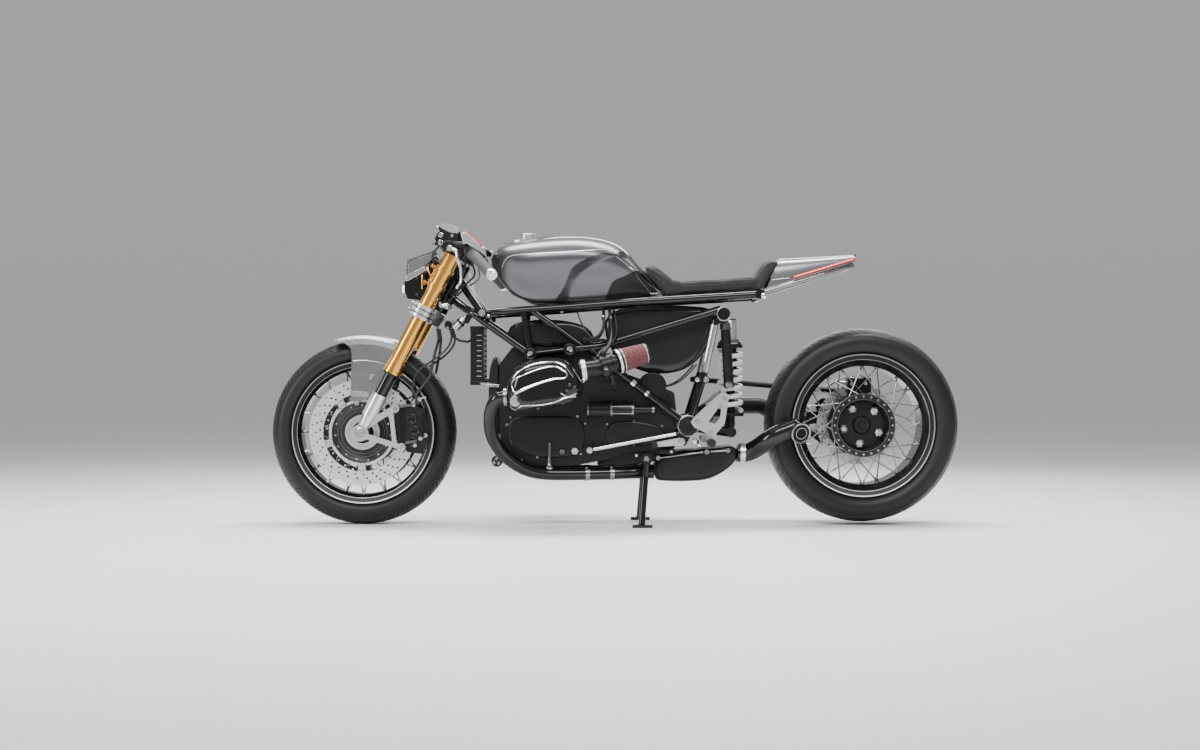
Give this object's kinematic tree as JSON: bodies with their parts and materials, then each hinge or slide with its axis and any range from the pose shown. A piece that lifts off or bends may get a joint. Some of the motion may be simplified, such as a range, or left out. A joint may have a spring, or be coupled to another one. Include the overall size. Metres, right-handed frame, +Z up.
{
  "type": "cafe racer motorcycle",
  "caption": "Low custom motorcycle with a flat twin engine, clip-on bars, spoked wheels, gold fork, grey tank, short seat and wedge tail, on its centre stand.",
  "frame": {"origin": "on the floor, midway along the length, in the middle plane", "axes": "-X forward to the front wheel, -Y to the rider's left side, +Z up; the wheels' axles run along Y"},
  "size_m": [2.2338, 0.724, 0.965],
  "materials": {
    "front_tyre": "matt black rubber",
    "rear_tyre": "matt black rubber",
    "front_rim": "black rim with polished lips, steel spokes",
    "rear_rim": "black rim with polished lips, steel spokes",
    "front_discs": "ground steel",
    "rear_disc": "ground steel",
    "fork_tubes": "gold anodised",
    "fork_stanchions": "dark polished",
    "fork_feet": "satin silver",
    "lower_clamp": "satin silver",
    "upper_clamp": "satin black",
    "handlebars": "satin black",
    "grips": "ribbed grey rubber",
    "hand_controls": "satin black with silver levers",
    "headlight": "gloss black body",
    "headlight_visor": "silver grey metallic",
    "front_fender": "silver grey metallic",
    "front_calipers": "black anodised",
    "brake_hoses": "black hose",
    "main_frame": "gloss black tube",
    "rear_frame": "gloss black tube",
    "engine_block": "satin black castings",
    "engine_covers": "satin black",
    "cylinders": "black finned castings",
    "head_covers": "gloss black with polished edges",
    "throttle_bodies": "black castings and rubber",
    "air_filters": "red pleated mesh",
    "oil_cooler": "black cooler with fine slots",
    "starter_motor": "black",
    "exhaust_headers": "black coated pipe",
    "exhaust_outlet": "polished black pipe",
    "fuel_tank": "satin grey metallic",
    "filler_cap": "satin silver",
    "seat": "dark suede",
    "tail_cowl": "silver grey metallic",
    "tail_light": "red light strip",
    "underseat_box": "black moulding",
    "swingarm": "dark grey casting",
    "final_drive": "black casting",
    "shock_absorber": "black damper",
    "shock_spring": "light grey coil",
    "rear_caliper": "black anodised",
    "footrests": "satin silver",
    "foot_levers": "satin silver",
    "centre_stand": "gloss black tube"
  },
  "bodies": {
    "frame": {"main_frame": "main_frame", "rear_frame": "rear_frame", "engine_block": "engine_block", "engine_covers": "engine_covers", "cylinders": "cylinders", "head_covers": "head_covers", "throttle_bodies": "throttle_bodies", "air_filters": "air_filters", "oil_cooler": "oil_cooler", "starter_motor": "starter_motor", "exhaust_headers": "exhaust_headers", "exhaust_outlet": "exhaust_outlet", "fuel_tank": "fuel_tank", "filler_cap": "filler_cap", "seat": "seat", "tail_cowl": "tail_cowl", "tail_light": "tail_light", "underseat_box": "underseat_box", "swingarm": "swingarm", "final_drive": "final_drive", "shock_absorber": "shock_absorber", "shock_spring": "shock_spring", "rear_caliper": "rear_caliper", "footrests": "footrests", "foot_levers": "foot_levers"},
    "steering": {"fork_tubes": "fork_tubes", "fork_stanchions": "fork_stanchions", "fork_feet": "fork_feet", "lower_clamp": "lower_clamp", "upper_clamp": "upper_clamp", "handlebars": "handlebars", "grips": "grips", "hand_controls": "hand_controls", "headlight": "headlight", "headlight_visor": "headlight_visor", "front_fender": "front_fender", "front_calipers": "front_calipers", "brake_hoses": "brake_hoses"},
    "front_wheel": {"front_tyre": "front_tyre", "front_rim": "front_rim", "front_discs": "front_discs"},
    "rear_wheel": {"rear_tyre": "rear_tyre", "rear_rim": "rear_rim", "rear_disc": "rear_disc"},
    "centre_stand": {"centre_stand": "centre_stand"}
  },
  "joints": [
    {"name": "steering_turn", "type": "hinge", "parent": "frame", "child": "steering", "pos_m": [-0.53643, 0, 0.774], "axis": [0.4617, 0, 0.887], "range_deg": [-27, 27]},
    {"name": "front_wheel_spin", "type": "hinge", "parent": "steering", "child": "front_wheel", "pos_m": [-0.817, 0, 0.3], "axis": [0, 1, 0], "continuous": true},
    {"name": "rear_wheel_spin", "type": "hinge", "parent": "frame", "child": "rear_wheel", "pos_m": [0.802, 0, 0.323], "axis": [0, 1, 0], "continuous": true},
    {"name": "centre_stand_fold", "type": "hinge", "parent": "frame", "child": "centre_stand", "pos_m": [0.1, 0, 0.218], "axis": [0, 1, 0], "range_deg": [-80, 0]}
  ]
}
